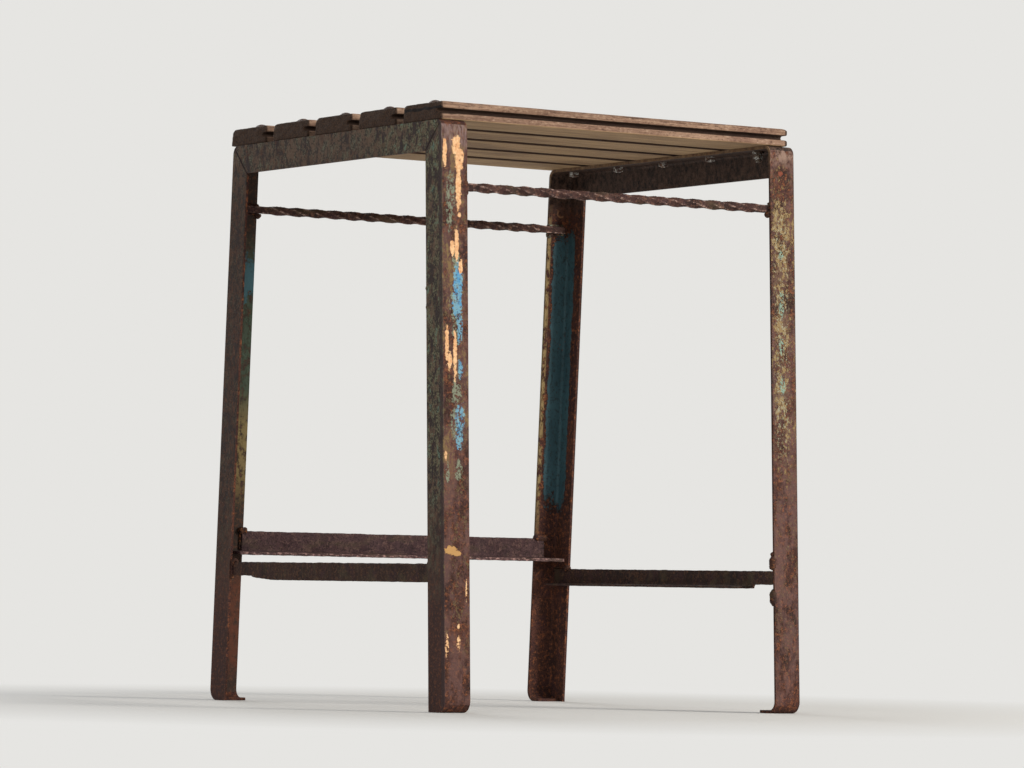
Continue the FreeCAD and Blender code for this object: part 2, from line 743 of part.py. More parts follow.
for side in SIDES:
    side_frame(side)
rear_stretcher()
for side in SIDES:
    side_stretcher(side)
for row in ("front", "rear"):
    twisted_bar(row)
for index in range(int(number("Sizes.slat_count"))):
    slat(index)
    for side in SIDES:
        domed_bolt(side, index)
        hex_nut(side, index)
for order in ("upper", "lower"):
    washer(order)
doc.recompute()
for side in SIDES:
    for row in ("front", "rear"):
        bar_weld(row, side)
        side_stretcher_weld(side, row)
    rear_stretcher_weld(side)
edge_weld("upper_edge_weld", f"(Sizes.side_height + Sizes.side_flange + {LARGE})", UPPER_RUN)
edge_weld("lower_edge_weld", f"(Sizes.side_height - Sizes.side_flange + {LARGE})", LOWER_RUN)
doc.recompute()

for thing in doc.Objects:
    if {"Invalid", "Error"} & set(thing.State):
        raise RuntimeError(f"{thing.Label} is {thing.State}")

os.makedirs("parts", exist_ok=True)
for name, thing in PARTS.items():
    shape = thing.Shape
    if shape.isNull() or not shape.isValid() or len(shape.Solids) != 1:
        raise RuntimeError(f"{name} is not one valid solid but {len(shape.Solids)}")
    shape.exportStep(f"parts/{name}.step")
    box = shape.BoundBox
    print(f"{name}: {len(shape.Solids)} solid, {shape.Volume:.0f} cubic mm, "
          f"{box.XLength:.1f} x {box.YLength:.1f} x {box.ZLength:.1f}")
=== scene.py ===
import math

import bpy
from mathutils import Matrix, Vector, noise


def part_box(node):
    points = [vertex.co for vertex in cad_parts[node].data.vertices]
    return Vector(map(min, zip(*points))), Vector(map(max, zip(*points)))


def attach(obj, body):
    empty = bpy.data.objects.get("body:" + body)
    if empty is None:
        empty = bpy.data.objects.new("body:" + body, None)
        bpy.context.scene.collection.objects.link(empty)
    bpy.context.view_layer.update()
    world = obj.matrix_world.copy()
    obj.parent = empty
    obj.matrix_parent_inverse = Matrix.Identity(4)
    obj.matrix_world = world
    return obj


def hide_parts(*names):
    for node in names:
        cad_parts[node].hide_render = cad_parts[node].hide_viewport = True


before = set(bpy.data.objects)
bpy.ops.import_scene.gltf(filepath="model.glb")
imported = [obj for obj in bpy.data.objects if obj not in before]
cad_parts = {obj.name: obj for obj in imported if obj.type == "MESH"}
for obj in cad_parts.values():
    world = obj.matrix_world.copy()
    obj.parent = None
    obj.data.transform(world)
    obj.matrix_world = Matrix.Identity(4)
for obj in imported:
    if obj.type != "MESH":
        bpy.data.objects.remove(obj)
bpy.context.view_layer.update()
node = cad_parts

# Side frames: two lengths of steel angle, notched, bent to an upside-down U and welded at
# the mitres. They were painted several times over, and most of that paint has flaked off
# the rusted steel. Each frame stands on the flanges that turn in under its legs.
RAIL_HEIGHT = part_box("slat_1")[0].z
FRAME_LOW, FRAME_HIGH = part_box("left_side_frame")
OUTER_X = -FRAME_LOW.x
FREE_EDGE_X = -FRAME_HIGH.x
HALF_FLOOR = 0.2325
HALF_TOP = 0.206
LEAN = (HALF_FLOOR - HALF_TOP) / RAIL_HEIGHT

# The direction square to the line of the mitre: its parts along the rail and up
MITRE_ALONG, MITRE_UP = 0.7230, 0.6909

# How deep under each face of the steel its paint reaches, and how proud it stands
FLANGE_SKIN = 0.0010
WEB_SKIN = 0.0006
HOLLOW_SKIN = 0.0024
EDGE_SKIN = 0.0008
PAINT_RELIEF = 0.0008

# How strongly paint, rust and wood mirror what is round them
SHEEN = 0.22


def shade(red, green, blue):
    """A colour as it is seen, from 0 to 255, in the numbers that a finish needs."""
    seen = [channel / 255 for channel in (red, green, blue)]
    return [c / 12.92 if c < 0.04 else ((c + 0.055) / 1.055) ** 2.4 for c in seen] + [1]


class Value:
    """A number inside a tree of nodes, on which Python's own sums work."""

    def __init__(self, nodes, socket):
        self.nodes = nodes
        self.socket = socket

    def __add__(self, other):
        return self.nodes.maths("ADD", self, other)

    def __sub__(self, other):
        return self.nodes.maths("SUBTRACT", self, other)

    def __rsub__(self, other):
        return self.nodes.maths("SUBTRACT", other, self)

    def __mul__(self, other):
        return self.nodes.maths("MULTIPLY", self, other)

    def __mod__(self, other):
        return self.nodes.maths("FLOORED_MODULO", self, other)

    def __rmod__(self, other):
        return self.nodes.maths("FLOORED_MODULO", other, self)

    def __pow__(self, other):
        return self.nodes.maths("POWER", self, other)

    def __rpow__(self, other):
        return self.nodes.maths("POWER", other, self)

    def __abs__(self):
        return self.nodes.maths("ABSOLUTE", self)

    __radd__ = __add__
    __rmul__ = __mul__


class Nodes:
    """A tree of shader nodes, of a material or of the light all round."""

    def __init__(self, tree):
        self.tree = tree

    def node(self, kind, settings=None, inputs=None, output=0):
        """Adds any node: its settings first, then the values or links of its sockets."""
        made = self.tree.nodes.new(kind)
        for name, setting in (settings or {}).items():
            setattr(made, name, setting)
        for name, value in (inputs or {}).items():
            self.feed(made.inputs[name], value)
        return Value(self, made.outputs[output])

    def feed(self, socket, value):
        if isinstance(value, Value):
            self.tree.links.new(value.socket, socket)
        else:
            socket.default_value = value

    def maths(self, operation, *values):
        return self.node("ShaderNodeMath", {"operation": operation}, dict(enumerate(values)))

    def either(self, first, second):
        return self.maths("MAXIMUM", first, second)

    def mask(self, value, low, high):
        """Goes from 0 where a value is low to 1 where it is high, and no further."""
        limits = {"Value": value, "From Min": low, "From Max": high}
        return self.node("ShaderNodeMapRange", None, limits)

    def above(self, value, place, soft=0.0002):
        """Goes softly from 0 before a place to 1 past it, which below() turns round."""
        return self.mask(value, place - soft, place + soft)

    def below(self, value, place, soft=0.0002):
        return self.mask(value, place + soft, place - soft)

    def within(self, value, low, high, soft):
        """1 between two places, with a soft step at each."""
        return self.above(value, low, soft) * self.below(value, high, soft)

    def mix(self, mask, under, over):
        """Lays one colour over another where the mask says."""
        colours = {0: mask, 6: under, 7: over}
        return self.node("ShaderNodeMix", {"data_type": "RGBA"}, colours, 2)


class Finish(Nodes):
    """A material that is put together from nodes."""

    def __init__(self, name):
        self.material = bpy.data.materials.new(name)
        self.material.use_nodes = True
        super().__init__(self.material.node_tree)
        self.shader = self.tree.nodes["Principled BSDF"]
        self.place = self.node("ShaderNodeTexCoord", output="Object")
        parts = self.node("ShaderNodeSeparateXYZ", inputs={"Vector": self.place}).socket.node
        self.x, self.y, self.z = [Value(self, parts.outputs[axis]) for axis in "XYZ"]

    def speckle(self, size, seed=0, stretch=(1, 1, 1), detail=5, rough=0.6):
        """Noise from 0 to 1 with spots of about a size, drawn out where stretched."""
        scale = [1 / (size * along) for along in stretch]
        moved = {"Vector": self.place, "Location": (seed, seed * 2, seed * 3), "Scale": scale}
        place = self.node("ShaderNodeMapping", None, moved)
        sizes = {"Vector": place, "Scale": 1, "Detail": detail, "Roughness": rough}
        return self.node("ShaderNodeTexNoise", None, sizes)

    def done(self, colour, roughness, height, depth):
        """Joins the colour, the roughness and the relief, whose height is a share of the depth."""
        relief = {"Height": height, "Distance": depth, "Strength": 1}
        bumps = self.node("ShaderNodeBump", None, relief)
        self.feed(self.shader.inputs["Base Color"], colour)
        self.feed(self.shader.inputs["Roughness"], roughness)
        self.feed(self.shader.inputs["Specular IOR Level"], SHEEN)
        self.feed(self.shader.inputs["Normal"], bumps)
        return self.material


PLUM_RUST, PIT = shade(70, 45, 46), shade(34, 24, 22)


def rust(finish, dark, mid, bright):
    """Blotches of brown rust with bright specks and dark pits: colour and height."""
    blotch = finish.speckle(0.035, 1, (1, 1, 1.8), 6, 0.62)
    plum = finish.speckle(0.012, 6, (1, 1, 1.5), 5, 0.6)
    grain = finish.speckle(0.004, 2, detail=6, rough=0.72)
    pits = finish.speckle(0.0016, 4, detail=3)
    colour = finish.mix(finish.mask(blotch, 0.38, 0.62), dark, mid)
    colour = finish.mix(finish.mask(plum, 0.48, 0.62) * 0.55, colour, PLUM_RUST)
    colour = finish.mix(finish.mask(grain, 0.51, 0.62) * 0.9, colour, bright)
    colour = finish.mix(finish.mask(pits, 0.48, 0.40) * 0.75, colour, PIT)
    return colour, blotch * 0.3 + grain * 0.5 + pits * 0.35


def cover(piece, material):
    """Gives a piece one finish all over."""
    piece.data.materials.clear()
    piece.data.materials.append(material)


def dress(name, material):
    """Puts a finish on a piece that keeps the shape it has."""
    cover(node[name], material)


# The tints of the coats on both frames, and of the steel where they are gone
FRAME_TINTS = {
    "brown dust": shade(106, 75, 69), "undercoat": shade(68, 47, 43),
    "brown-grey": shade(106, 85, 68), "olive-grey": shade(108, 108, 88),
    "olive": shade(120, 116, 88), "grey-green": shade(98, 132, 118),
    "sand": shade(140, 116, 94), "grey": shade(132, 130, 132), "dark steel": shade(36, 25, 22),
    "bare steel": shade(42, 30, 28), "plum steel": shade(56, 39, 40),
    "dry mustard": shade(112, 94, 62), "mitre": shade(66, 46, 40), "crease": shade(26, 18, 18),
}


class FramePaint(Finish):
    """The rusted steel of one frame, under the coats of paint that are left on it."""

    def __init__(self, side):
        super().__init__(f"flaking_paint_{side}")
        dark, mid, bright = shade(52, 33, 29), shade(88, 54, 43), shade(138, 84, 54)
        self.colour, self.height = rust(self, dark, mid, bright)
        self.paint = None
        # How far out a point is, and how far in from the front and back of the leaning legs
        self.out = abs(self.x)
        self.to_front = self.y + HALF_FLOOR - self.z * LEAN
        self.to_back = HALF_FLOOR - self.z * LEAN - self.y
        # The faces: flanges at the front and rear, webs outwards, and the hollow of the angle
        self.front = self.below(self.to_front, FLANGE_SKIN)
        self.rear = self.below(self.to_back, FLANGE_SKIN)
        self.outer = self.above(self.out, OUTER_X - WEB_SKIN)
        self.inner = self.above(self.to_back, HOLLOW_SKIN)
        self.inner = self.inner * self.below(self.out, OUTER_X - HOLLOW_SKIN)
        # Noise for the patches, flakes and crumbs in which paint comes off
        self.large = self.speckle(0.018, 7, (1, 1, 2.2), 6, 0.65)
        self.fine = self.speckle(0.0055, 9, (1, 1, 1.6), 7, 0.74)
        self.flakes = self.speckle(0.009, 12, (1, 1, 1.7), 7, 0.72)
        self.crumbs = self.speckle(0.0022, 17, detail=5, rough=0.7)
        self.unbroken = self.mask(self.crumbs, 0.36, 0.42)

    def coat(self, mask, tint):
        """Lays a coat over those before it, and keeps where there is any paint at all."""
        self.colour = self.mix(mask, self.colour, tint)
        self.paint = self.either(self.paint, mask) if self.paint else mask

    def coat_spots(self, places, kept, tint):
        """Lays a coat on ragged oval spots of the front flange, as far as it is kept."""
        ragged = (self.speckle(0.004, 3, detail=6, rough=0.7) - 0.5) * 1.9
        found = None
        for x, z, half_x, half_z in places:
            across, up = (self.x - x) * (1 / half_x), (self.z - z) * (1 / half_z)
            spot = 1 - (across * across + up * up) ** 0.5
            found = self.either(found, spot) if found else spot
        self.coat(self.front * self.mask(found + ragged, 0.1, 0.2) * kept, tint)

    def weather(self):
        """The coats that both frames share."""
        tints = FRAME_TINTS
        level, large, fine, flakes, crumbs = self.z, self.large, self.fine, self.flakes, self.crumbs
        facing = self.either(self.outer, self.rear)
        self.coat(self.front * self.mask(large + fine * 0.5, 0.66, 0.80) * 0.6, tints["brown dust"])
        self.coat(facing * 0.45, tints["undercoat"])
        # Paint dulled to a brown-grey on every outward face, most along the rail and near leg
        faded = facing * self.mask(level, 0.10, 0.22)
        near = self.mask(self.y, -0.04, -0.14)
        most = faded * (self.either(self.mask(level, 0.53, 0.57), near) * 0.65 + 0.35)
        self.coat(most * self.mask(large, 0.36, 0.50) * 0.8, tints["brown-grey"])
        self.coat(most * self.mask(flakes + fine, 1.02, 1.08) * 0.8, tints["olive-grey"])
        # Olive and grey-green on the near leg
        greened = faded * near * self.mask(level, 0.18, 0.26)
        olive = self.mask(fine * 0.6 + flakes * 0.4, 0.48, 0.50)
        self.coat(greened * olive * 0.85, tints["olive"])
        green = self.mask(flakes, 0.58, 0.61) * self.unbroken
        self.coat(greened * green * 0.8, tints["grey-green"])
        # Sandy crumbs, grey flakes, and the dark steel where the paint is gone
        self.coat(faded * self.mask(crumbs, 0.55, 0.60) * 0.55, tints["sand"])
        grey = self.mask(flakes, 0.37, 0.35) * self.unbroken
        self.coat(most * grey * 0.7, tints["grey"])
        self.coat(faded * self.mask(crumbs + fine, 1.01, 1.05) * 0.9, tints["dark steel"])
        gone = self.mask(flakes + large * 0.5 - near * 0.03, 0.69, 0.67) * self.unbroken
        self.coat(faded * gone * 0.9, tints["bare steel"])
        by_corner = self.mask(self.to_front + fine * 0.012, 0.0130, 0.0110)
        self.coat(self.outer * near * by_corner * 0.75, tints["plum steel"])
        flecks = self.mask(crumbs + flakes, 1.08, 1.16) * self.mask(level, 0.03, 0.09)
        self.coat(self.either(self.front, self.rear) * flecks * 0.7, tints["dry mustard"])
        # The welded mitre at each upper corner, filled and painted over at the near one
        from_mitre = (abs(self.y) - HALF_TOP) * MITRE_ALONG - (level - RAIL_HEIGHT) * MITRE_UP
        from_mitre = abs(from_mitre)
        plain = self.outer * (0.35 + self.mask(self.y, -0.1, 0.1) * 0.65)
        self.coat(plain * self.mask(from_mitre, 0.0030, 0.0012) * 0.6, tints["mitre"])
        self.coat(plain * self.mask(from_mitre, 0.0010, 0.0005), tints["crease"])

    def finished(self):
        """Paint shines a little more than rust does, and stands above it."""
        roughness = 0.88 - self.paint * 0.28
        return self.done(self.colour, roughness, self.height + self.paint * 0.5, PAINT_RELIEF)


# Left frame: the front flange of its near leg has the most paint left, grey-green under sky
# blue under drips of cream. Every spot is (x, height, half its width, half its height).
CREAM_SPOTS = [
    (-0.2125, 0.553, 0.0028, 0.017), (-0.1990, 0.561, 0.0056, 0.012),
    (-0.1955, 0.547, 0.0058, 0.015), (-0.1965, 0.518, 0.0037, 0.028),
    (-0.1955, 0.4918, 0.002, 0.003), (-0.1990, 0.462, 0.0030, 0.019),
    (-0.2040, 0.458, 0.0030, 0.010), (-0.1945, 0.440, 0.0028, 0.008),
    (-0.2110, 0.362, 0.0026, 0.022), (-0.2080, 0.346, 0.0030, 0.012),
    (-0.2015, 0.352, 0.0026, 0.028), (-0.2130, 0.066, 0.0022, 0.013),
    (-0.1995, 0.068, 0.0025, 0.009), (-0.1995, 0.085, 0.0022, 0.003),
    (-0.2130, 0.253, 0.0016, 0.006), (-0.1900, 0.120, 0.0010, 0.012),
]
BLUE_SPOTS = [
    (-0.1975, 0.424, 0.0058, 0.024), (-0.1985, 0.402, 0.0065, 0.014),
    (-0.1960, 0.380, 0.0042, 0.018), (-0.1955, 0.338, 0.0032, 0.012),
    (-0.1965, 0.290, 0.0068, 0.018), (-0.1970, 0.270, 0.0048, 0.014),
]
GREEN_SPOTS = [
    (-0.2035, 0.400, 0.0050, 0.018), (-0.2000, 0.380, 0.0060, 0.022),
    (-0.2000, 0.315, 0.0060, 0.014), (-0.2060, 0.505, 0.0060, 0.034),
    (-0.2000, 0.448, 0.0050, 0.012), (-0.2035, 0.285, 0.0040, 0.018),
    (-0.1985, 0.238, 0.0050, 0.012), (-0.2110, 0.235, 0.0025, 0.012),
]
CHIP_SPOTS = [(-0.2075, 0.1595, 0.0080, 0.0055), (-0.2010, 0.1570, 0.0055, 0.0035)]
LEFT_TINTS = {
    "dusty pink": shade(136, 112, 106), "mustard": shade(130, 106, 66),
    "green": shade(130, 134, 112), "sky blue": shade(74, 146, 192),
    "faded blue": shade(122, 164, 176), "thin cream": shade(222, 160, 108),
    "thick cream": shade(242, 200, 150), "ochre chip": shade(192, 146, 88),
    "shadow": shade(48, 42, 34), "dark green": shade(62, 74, 58), "teal": shade(60, 96, 104),
    "ochre": shade(124, 106, 66), "red rust": shade(108, 58, 38),
}
STRIP_WIDTH = 0.0040


def left_paint(finish):
    """The coats that the left frame alone has."""
    level, fine, flakes, crumbs = finish.z, finish.fine, finish.flakes, finish.crumbs
    tints = LEFT_TINTS
    # Streaks of dusty pink at the top of the near leg, and mustard below them
    streaks = finish.mask(finish.speckle(0.002, 19, (1, 1, 6)), 0.40, 0.56)
    high = finish.mask(level, 0.552, 0.566)
    finish.coat(finish.front * high * streaks * 0.85, tints["dusty pink"])
    reach = finish.within(level, 0.37, 0.56, 0.02) * 0.06 + finish.within(level, 0.24, 0.56, 0.03)
    mustard = finish.mask(finish.large + fine * 0.6 + crumbs * 0.4, 1.06, 1.12)
    finish.coat(finish.front * reach * mustard * 0.8, tints["mustard"])
    # Green, then blue that is torn below the first drip, then cream, then one ochre chip
    finish.coat_spots(GREEN_SPOTS, finish.mask(crumbs + fine, 0.96, 1.02), tints["green"])
    torn = finish.either(finish.mask(level, 0.386, 0.396), finish.mask(crumbs + fine, 0.95, 1.00))
    blue = finish.mix(finish.mask(fine, 0.42, 0.56), tints["sky blue"], tints["faded blue"])
    finish.coat_spots(BLUE_SPOTS, finish.mask(crumbs, 0.41, 0.44) * torn, blue)
    worn = finish.either(finish.mask(level, 0.29, 0.30), finish.mask(crumbs + fine, 0.92, 0.96))
    thick = finish.mask(fine * 0.5 + crumbs * 0.5, 0.43, 0.58)
    cream = finish.mix(thick, tints["thin cream"], tints["thick cream"])
    finish.coat_spots(CREAM_SPOTS, worn * finish.mask(crumbs, 0.34, 0.37), cream)
    finish.coat_spots(CHIP_SPOTS, 1, tints["ochre chip"])
    # The strip of the rear leg's inside that shows past its web: green, teal, ochre and rust
    strip = finish.below(finish.to_back, STRIP_WIDTH, 0.0005) * finish.mask(finish.y, 0.0, 0.01)
    strip = strip * (1 - finish.outer) * finish.inner
    finish.coat(strip * 0.6, tints["shadow"])
    green = finish.within(level, 0.29, 0.48, 0.02) * finish.mask(fine, 0.40, 0.52)
    finish.coat(strip * green, tints["dark green"])
    teal_band = finish.within(level, 0.415, 0.480, 0.03) * 0.5
    teal = finish.mask(flakes * 0.6 + crumbs * 0.4 + teal_band, 0.84, 0.90)
    finish.coat(strip * teal, tints["teal"])
    ochre = finish.within(level, 0.22, 0.31, 0.02) * finish.mask(fine, 0.42, 0.5)
    finish.coat(strip * ochre, tints["ochre"])
    low_rust = finish.within(level, 0.03, 0.13, 0.01) * finish.mask(fine, 0.38, 0.55)
    finish.coat(strip * low_rust * 0.7, tints["red rust"])


# Right frame: mustard and pale specks down the middle of the front flange, a few spots of
# mint and one of red lead, given as above, and old blue in the hollow of the rear leg.
MINT_SPOTS = [
    (0.1980, 0.472, 0.0040, 0.0050), (0.1990, 0.430, 0.0026, 0.0070),
    (0.1985, 0.416, 0.0040, 0.0090), (0.1978, 0.377, 0.0034, 0.0090),
    (0.1986, 0.338, 0.0040, 0.0110),
]
RED_SPOTS = [(0.1990, 0.557, 0.0034, 0.0034)]
RIGHT_TINTS = {
    "mustard": shade(138, 113, 72), "pale speck": shade(154, 150, 126),
    "plum rust": shade(88, 58, 50), "sand": shade(116, 104, 84), "mint": shade(132, 156, 138),
    "red lead": shade(134, 62, 38), "dusty pink": shade(156, 128, 112),
    "deep blue": shade(38, 62, 70), "old blue": shade(74, 108, 116),
    "soiled blue": shade(44, 48, 46), "ochre": shade(138, 116, 76), "scar": shade(146, 106, 76),
    "painted_shade": shade(18, 12, 10), "brown soot": shade(96, 74, 62), "dark tan": shade(96, 72, 54),
    "tan": shade(150, 120, 88),
}
FLANGE_MIDDLE = 0.1980
SCAR_X, SCAR_Z, SCAR_RADIUS = 0.2015, 0.539, 0.0042


def right_paint(finish):
    """The coats that the right frame alone has."""
    level, fine, flakes, crumbs = finish.z, finish.fine, finish.flakes, finish.crumbs
    tints = RIGHT_TINTS
    front, out, to_back = finish.front, finish.out, finish.to_back
    mottle = finish.speckle(0.0036, 25, (1, 1, 1.5), 6, 0.72)
    # Mustard, pale specks, plum rust and sandy crumbs on the front flange
    reach = finish.within(level, 0.25, 0.555, 0.04) * 0.16
    reach = reach + finish.within(level, 0.44, 0.55, 0.02) * 0.04
    central = finish.mask(abs(finish.x - FLANGE_MIDDLE), 0.0115, 0.0060)
    mustard = finish.mask(finish.large * 0.4 + mottle + reach + central * 0.08, 0.92, 0.97)
    finish.coat(front * mustard, tints["mustard"])
    pale = finish.within(level, 0.27, 0.52, 0.02) * central
    pale = pale * finish.mask(crumbs + mottle * 0.5, 0.80, 0.84)
    finish.coat(front * pale * 0.85, tints["pale speck"])
    finish.coat(front * finish.mask(flakes, 0.57, 0.61) * 0.75, tints["plum rust"])
    finish.coat(front * finish.mask(mottle, 0.38, 0.34) * 0.6, tints["sand"])
    # Spots of mint and of red lead, and a dusty pink top
    finish.coat_spots(MINT_SPOTS, finish.mask(crumbs + fine * 0.5, 0.71, 0.75), tints["mint"])
    finish.coat_spots(RED_SPOTS, 0.7, tints["red lead"])
    high = finish.mask(level, 0.562, 0.574) * finish.mask(fine, 0.42, 0.56)
    finish.coat(front * high * 0.7, tints["dusty pink"])
    # The hollow of the rear leg is still blue, with a strip of ochre along its edge
    lasting = finish.within(level, 0.205, 0.530, 0.035)
    hollow = finish.mask(out, 0.1890, 0.1960) * finish.mask(to_back, 0.0220, 0.0150)
    worn = finish.mask(flakes * 0.6 + crumbs * 0.4 + lasting * hollow * 0.4, 0.76, 0.80)
    blue = finish.mix(finish.large, tints["deep blue"], tints["old blue"])
    soiled = finish.mask(mottle + crumbs, 1.04, 1.14) * 0.7
    finish.coat(finish.inner * worn, finish.mix(soiled, blue, tints["soiled blue"]))
    edge = finish.mask(out, 0.1906, 0.1892) * finish.mask(to_back, 0.0060, 0.0040)
    finish.coat(edge * lasting * finish.mask(fine, 0.44, 0.5), tints["ochre"])
    # A scar like half a ring, where something was once welded on
    across, up = finish.x - SCAR_X, level - SCAR_Z
    ring = abs((across * across + up * up) ** 0.5 - SCAR_RADIUS)
    half = finish.below(finish.x + level, SCAR_X + SCAR_Z + 0.0005, 0.0015)
    scar = finish.mask(ring, 0.0013, 0.0007) * half * finish.mask(finish.y, 0, 0.01)
    finish.coat(finish.inner * scar, tints["scar"])
    # Painted shade darkens the inside of the rail, which was never painted; its free edge is tan
    under_seat = finish.mask(level, 0.530, 0.556) * finish.below(out, OUTER_X - 0.0015, 0.0005)
    shade_spread = finish.mask(fine * 0.6 + crumbs * 0.4, 0.42, 0.60)
    painted_shade = finish.mix(shade_spread, tints["painted_shade"], tints["brown soot"])
    finish.coat(under_seat * (1 - front) * (1 - finish.rear) * 0.94, painted_shade)
    free_edge = finish.below(out, FREE_EDGE_X + EDGE_SKIN) * finish.mask(level, 0.56, 0.58)
    tan = finish.mix(finish.mask(fine, 0.36, 0.64), tints["dark tan"], tints["tan"])
    finish.coat(free_edge * 0.85, tan)


for side, add_paint in (("left", left_paint), ("right", right_paint)):
    finish = FramePaint(side)
    finish.weather()
    add_paint(finish)
    dress(f"{side}_side_frame", finish.finished())

# Stretchers: the rear one is a heavier angle, and the two side ones are lighter angle. They
# were never painted with care, and have rusted to a dull purple-brown with eaten edges.


def worn_copy(name, grain, rounds):
    """A copy of a piece made of even small faces with softened edges, to model wear on."""
    mesh = node[name].data.copy()
    piece = bpy.data.objects.new(f"{name}_worn", mesh)
    bpy.context.scene.collection.objects.link(piece)
    bpy.ops.object.select_all(action="DESELECT")
    piece.select_set(True)
    bpy.context.view_layer.objects.active = piece
    bpy.ops.object.mode_set(mode="EDIT")
    bpy.ops.mesh.select_all(action="SELECT")
    bpy.ops.mesh.remove_doubles(threshold=1e-5)
    bpy.ops.mesh.normals_make_consistent(inside=False)
    bpy.ops.object.mode_set(mode="OBJECT")
    even = piece.modifiers.new("even_faces", "REMESH")
    even.mode = "VOXEL"
    even.voxel_size = grain
    soft = piece.modifiers.new("soft_edges", "SMOOTH")
    soft.factor = 0.5
    soft.iterations = rounds
    for modifier in ("even_faces", "soft_edges"):
        bpy.ops.object.modifier_apply(modifier=modifier)
    bpy.ops.object.shade_smooth()
    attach(piece, "root")
    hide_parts(name)
    return piece


def eat(piece, depth, size):
    """Sinks the surface unevenly, by up to a depth, as rust or weather does."""
    normals = [vertex.normal.copy() for vertex in piece.data.vertices]
    for vertex, normal in zip(piece.data.vertices, normals):
        uneven = noise.fractal(vertex.co / size, 0.8, 2.1, 4)
        vertex.co -= normal * depth * min(1, max(0, 0.5 + 0.6 * uneven))
    piece.data.update()


STAIN = shade(86, 74, 54)
RUST_RELIEF = 0.0009


def bare_finish(name, dark, mid, bright, roughness=0.8, wear_and_highlight=None, wear_and_highlight_tint=None):
    """Rust with yellow-brown stains, and another tint over a part of it, which callers use for worn
    arrises, old paint and painted highlights.
    """
    finish = Finish(name)
    colour, height = rust(finish, shade(*dark), shade(*mid), shade(*bright))
    stain = finish.mask(finish.speckle(0.02, 21, (2.5, 1, 1), 6, 0.65), 0.52, 0.66)
    colour = finish.mix(stain * 0.5, colour, STAIN)
    if wear_and_highlight:
        speckled = finish.mask(finish.speckle(0.0026, 23, (2, 1, 1), 6, 0.75), 0.50, 0.62)
        colour = finish.mix(wear_and_highlight(finish) * speckled, colour, shade(*wear_and_highlight_tint))
    return finish.done(colour, roughness, height, RUST_RELIEF)


REAR_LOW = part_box("rear_stretcher")[0]
LIP_SKIN = 0.0012


def lower_lip_highlight(finish):
    """The free edge of the rear stretcher's level flange, where a pale line is a painted highlight."""
    near_edge = finish.below(finish.y, REAR_LOW.y + LIP_SKIN, 0.0004)
    return near_edge * finish.mask(finish.y, REAR_LOW.y - 0.002, REAR_LOW.y - 0.001)


# The pale tint along the level flange's free edge is a painted highlight
rear_finish = bare_finish(
    "purple_brown_rust", dark=(58, 40, 43), mid=(86, 63, 63), bright=(106, 80, 74),
    wear_and_highlight=lower_lip_highlight, wear_and_highlight_tint=(176, 138, 130))
side_finish = bare_finish("brown_rust", dark=(44, 30, 26), mid=(68, 46, 38), bright=(98, 68, 50))
for name in ("rear_stretcher", "left_stretcher", "right_stretcher"):
    stretcher = worn_copy(name, grain=0.0011, rounds=2)
    eat(stretcher, depth=0.0006, size=0.009)
    cover(stretcher, rear_finish if name == "rear_stretcher" else side_finish)

# Twisted bars: 8 mm square bar, twisted cold, with a plain stretch at each end that is
# welded inside the legs. The arrises are worn bright and carry a painted highlight, and
# rust sits in the hollows.
BAR_LOW, BAR_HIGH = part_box("front_twisted_bar")
BAR_Y = -(BAR_LOW.y + BAR_HIGH.y) / 2
BAR_Z = (BAR_LOW.z + BAR_HIGH.z) / 2
ARRIS_FROM, ARRIS_TO = 0.0042, 0.0050


def arrises(finish):
    """Grows from 0 near the axis of a bar to 1 along its arrises."""
    from_axis = ((abs(finish.y) - BAR_Y) ** 2 + (finish.z - BAR_Z) ** 2) ** 0.5
    return finish.mask(from_axis, ARRIS_FROM, ARRIS_TO)


bar_finish = bare_finish(
    "worn_highlit_rust", dark=(46, 29, 26), mid=(78, 51, 45), bright=(112, 78, 64),
    wear_and_highlight=arrises, wear_and_highlight_tint=(192, 160, 146))
for row in ("front", "rear"):
    bar = worn_copy(f"{row}_twisted_bar", grain=0.0008, rounds=8)
    eat(bar, depth=0.0004, size=0.006)
    cover(bar, bar_finish)

# Welds: short runs of stick weld, never ground off. Each is a row of drops that has run
# together into an uneven lump, with rust in its creases.


def old_paint(finish):
    """The welds at the right end of the rear bar still hold some pale paint."""
    at_back = finish.mask(finish.x, 0.17, 0.18) * finish.mask(finish.y, 0.10, 0.12)
    return at_back * finish.mask(finish.z, 0.45, 0.50)


weld_finish = bare_finish(
    "rusted_weld", dark=(44, 29, 26), mid=(82, 54, 42), bright=(140, 88, 52), roughness=0.85,
    wear_and_highlight=old_paint, wear_and_highlight_tint=(142, 148, 128))
for name in sorted(node):
    if name.endswith("_weld"):
        lump = worn_copy(name, grain=0.0006, rounds=3)
        eat(lump, depth=0.0007, size=0.003)
        cover(lump, weld_finish)

# Spatter: two drops of steel that flew from the welding and stuck to the free edge of the
# near leg's web. Each has its place, its radius, and how much taller it is than a ball.
SPATTER = [
    ((-0.2138, -0.1825, 0.4186), 0.0027, 1.1),
    ((-0.2141, -0.1832, 0.4000), 0.0020, 2.0),
]
FLATTENED = 0.8
for count, (place, radius, height) in enumerate(SPATTER, start=1):
    bpy.ops.object.select_all(action="DESELECT")
    bpy.ops.mesh.primitive_ico_sphere_add(subdivisions=4, radius=radius)
    drop = bpy.context.active_object
    drop.name = f"spatter_{count}"
    drop.data.transform(Matrix.Translation(place) @ Matrix.Diagonal((FLATTENED, 1, height, 1)))
    eat(drop, depth=0.0006, size=0.0016)
    bpy.ops.object.shade_smooth()
    cover(drop, weld_finish)
    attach(drop, "root")

